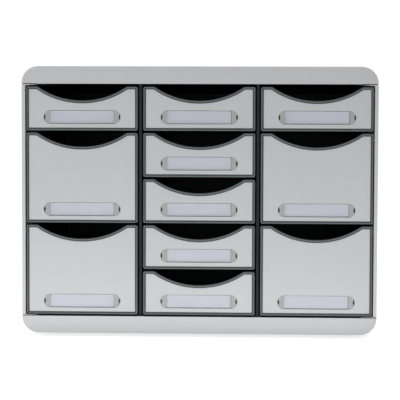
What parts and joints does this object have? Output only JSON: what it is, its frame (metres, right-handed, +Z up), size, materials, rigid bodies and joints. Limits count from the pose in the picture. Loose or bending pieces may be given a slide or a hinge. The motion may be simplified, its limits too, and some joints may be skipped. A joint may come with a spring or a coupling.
{
  "type": "desktop drawer set",
  "caption": "Landscape desktop drawer set: shallow and deep trays with finger scoops and label windows slide in a casing with rounded covers.",
  "frame": {"origin": "on the ground, under the middle of the casing", "axes": "+X to the right seen from the front, the drawers pull out towards -Y, +Z up"},
  "size_m": [0.355, 0.27, 0.271],
  "materials": {
    "casing_grey": "light grey moulded polystyrene, satin",
    "casing_anthracite": "anthracite moulded polystyrene, satin",
    "tray_anthracite": "dark grey moulded polystyrene, satin",
    "plate_silver": "light silver-grey plastic, satin",
    "card_white": "blank bluish white card",
    "window_clear": "clear moulded polystyrene",
    "feet_rubber": "black rubber"
  },
  "bodies": {
    "casing": {"top_cover": "casing_grey", "base": "casing_grey", "feet": "feet_rubber", "side_panel_left": "casing_grey", "side_panel_right": "casing_grey", "back_panel": "casing_anthracite", "divider_1": "casing_anthracite", "divider_2": "casing_anthracite"},
    "drawer_left_1": {"tray_left_1": "tray_anthracite", "face_plate_left_1": "plate_silver", "label_card_left_1": "card_white", "label_window_left_1": "window_clear"},
    "drawer_left_2": {"tray_left_2": "tray_anthracite", "face_plate_left_2": "plate_silver", "label_card_left_2": "card_white", "label_window_left_2": "window_clear"},
    "drawer_left_3": {"tray_left_3": "tray_anthracite", "face_plate_left_3": "plate_silver", "label_card_left_3": "card_white", "label_window_left_3": "window_clear"},
    "drawer_centre_1": {"tray_centre_1": "tray_anthracite", "face_plate_centre_1": "plate_silver", "label_card_centre_1": "card_white", "label_window_centre_1": "window_clear"},
    "drawer_centre_2": {"tray_centre_2": "tray_anthracite", "face_plate_centre_2": "plate_silver", "label_card_centre_2": "card_white", "label_window_centre_2": "window_clear"},
    "drawer_centre_3": {"tray_centre_3": "tray_anthracite", "face_plate_centre_3": "plate_silver", "label_card_centre_3": "card_white", "label_window_centre_3": "window_clear"},
    "drawer_centre_4": {"tray_centre_4": "tray_anthracite", "face_plate_centre_4": "plate_silver", "label_card_centre_4": "card_white", "label_window_centre_4": "window_clear"},
    "drawer_centre_5": {"tray_centre_5": "tray_anthracite", "face_plate_centre_5": "plate_silver", "label_card_centre_5": "card_white", "label_window_centre_5": "window_clear"},
    "drawer_right_1": {"tray_right_1": "tray_anthracite", "face_plate_right_1": "plate_silver", "label_card_right_1": "card_white", "label_window_right_1": "window_clear"},
    "drawer_right_2": {"tray_right_2": "tray_anthracite", "face_plate_right_2": "plate_silver", "label_card_right_2": "card_white", "label_window_right_2": "window_clear"},
    "drawer_right_3": {"tray_right_3": "tray_anthracite", "face_plate_right_3": "plate_silver", "label_card_right_3": "card_white", "label_window_right_3": "window_clear"}
  },
  "joints": [
    {"name": "drawer_left_1_slide", "type": "slide", "parent": "casing", "child": "drawer_left_1", "axis": [0, -1, 0], "range_m": [0, 0.19]},
    {"name": "drawer_left_2_slide", "type": "slide", "parent": "casing", "child": "drawer_left_2", "axis": [0, -1, 0], "range_m": [0, 0.19]},
    {"name": "drawer_left_3_slide", "type": "slide", "parent": "casing", "child": "drawer_left_3", "axis": [0, -1, 0], "range_m": [0, 0.19]},
    {"name": "drawer_centre_1_slide", "type": "slide", "parent": "casing", "child": "drawer_centre_1", "axis": [0, -1, 0], "range_m": [0, 0.19]},
    {"name": "drawer_centre_2_slide", "type": "slide", "parent": "casing", "child": "drawer_centre_2", "axis": [0, -1, 0], "range_m": [0, 0.19]},
    {"name": "drawer_centre_3_slide", "type": "slide", "parent": "casing", "child": "drawer_centre_3", "axis": [0, -1, 0], "range_m": [0, 0.19]},
    {"name": "drawer_centre_4_slide", "type": "slide", "parent": "casing", "child": "drawer_centre_4", "axis": [0, -1, 0], "range_m": [0, 0.19]},
    {"name": "drawer_centre_5_slide", "type": "slide", "parent": "casing", "child": "drawer_centre_5", "axis": [0, -1, 0], "range_m": [0, 0.19]},
    {"name": "drawer_right_1_slide", "type": "slide", "parent": "casing", "child": "drawer_right_1", "axis": [0, -1, 0], "range_m": [0, 0.19]},
    {"name": "drawer_right_2_slide", "type": "slide", "parent": "casing", "child": "drawer_right_2", "axis": [0, -1, 0], "range_m": [0, 0.19]},
    {"name": "drawer_right_3_slide", "type": "slide", "parent": "casing", "child": "drawer_right_3", "axis": [0, -1, 0], "range_m": [0, 0.19]}
  ]
}
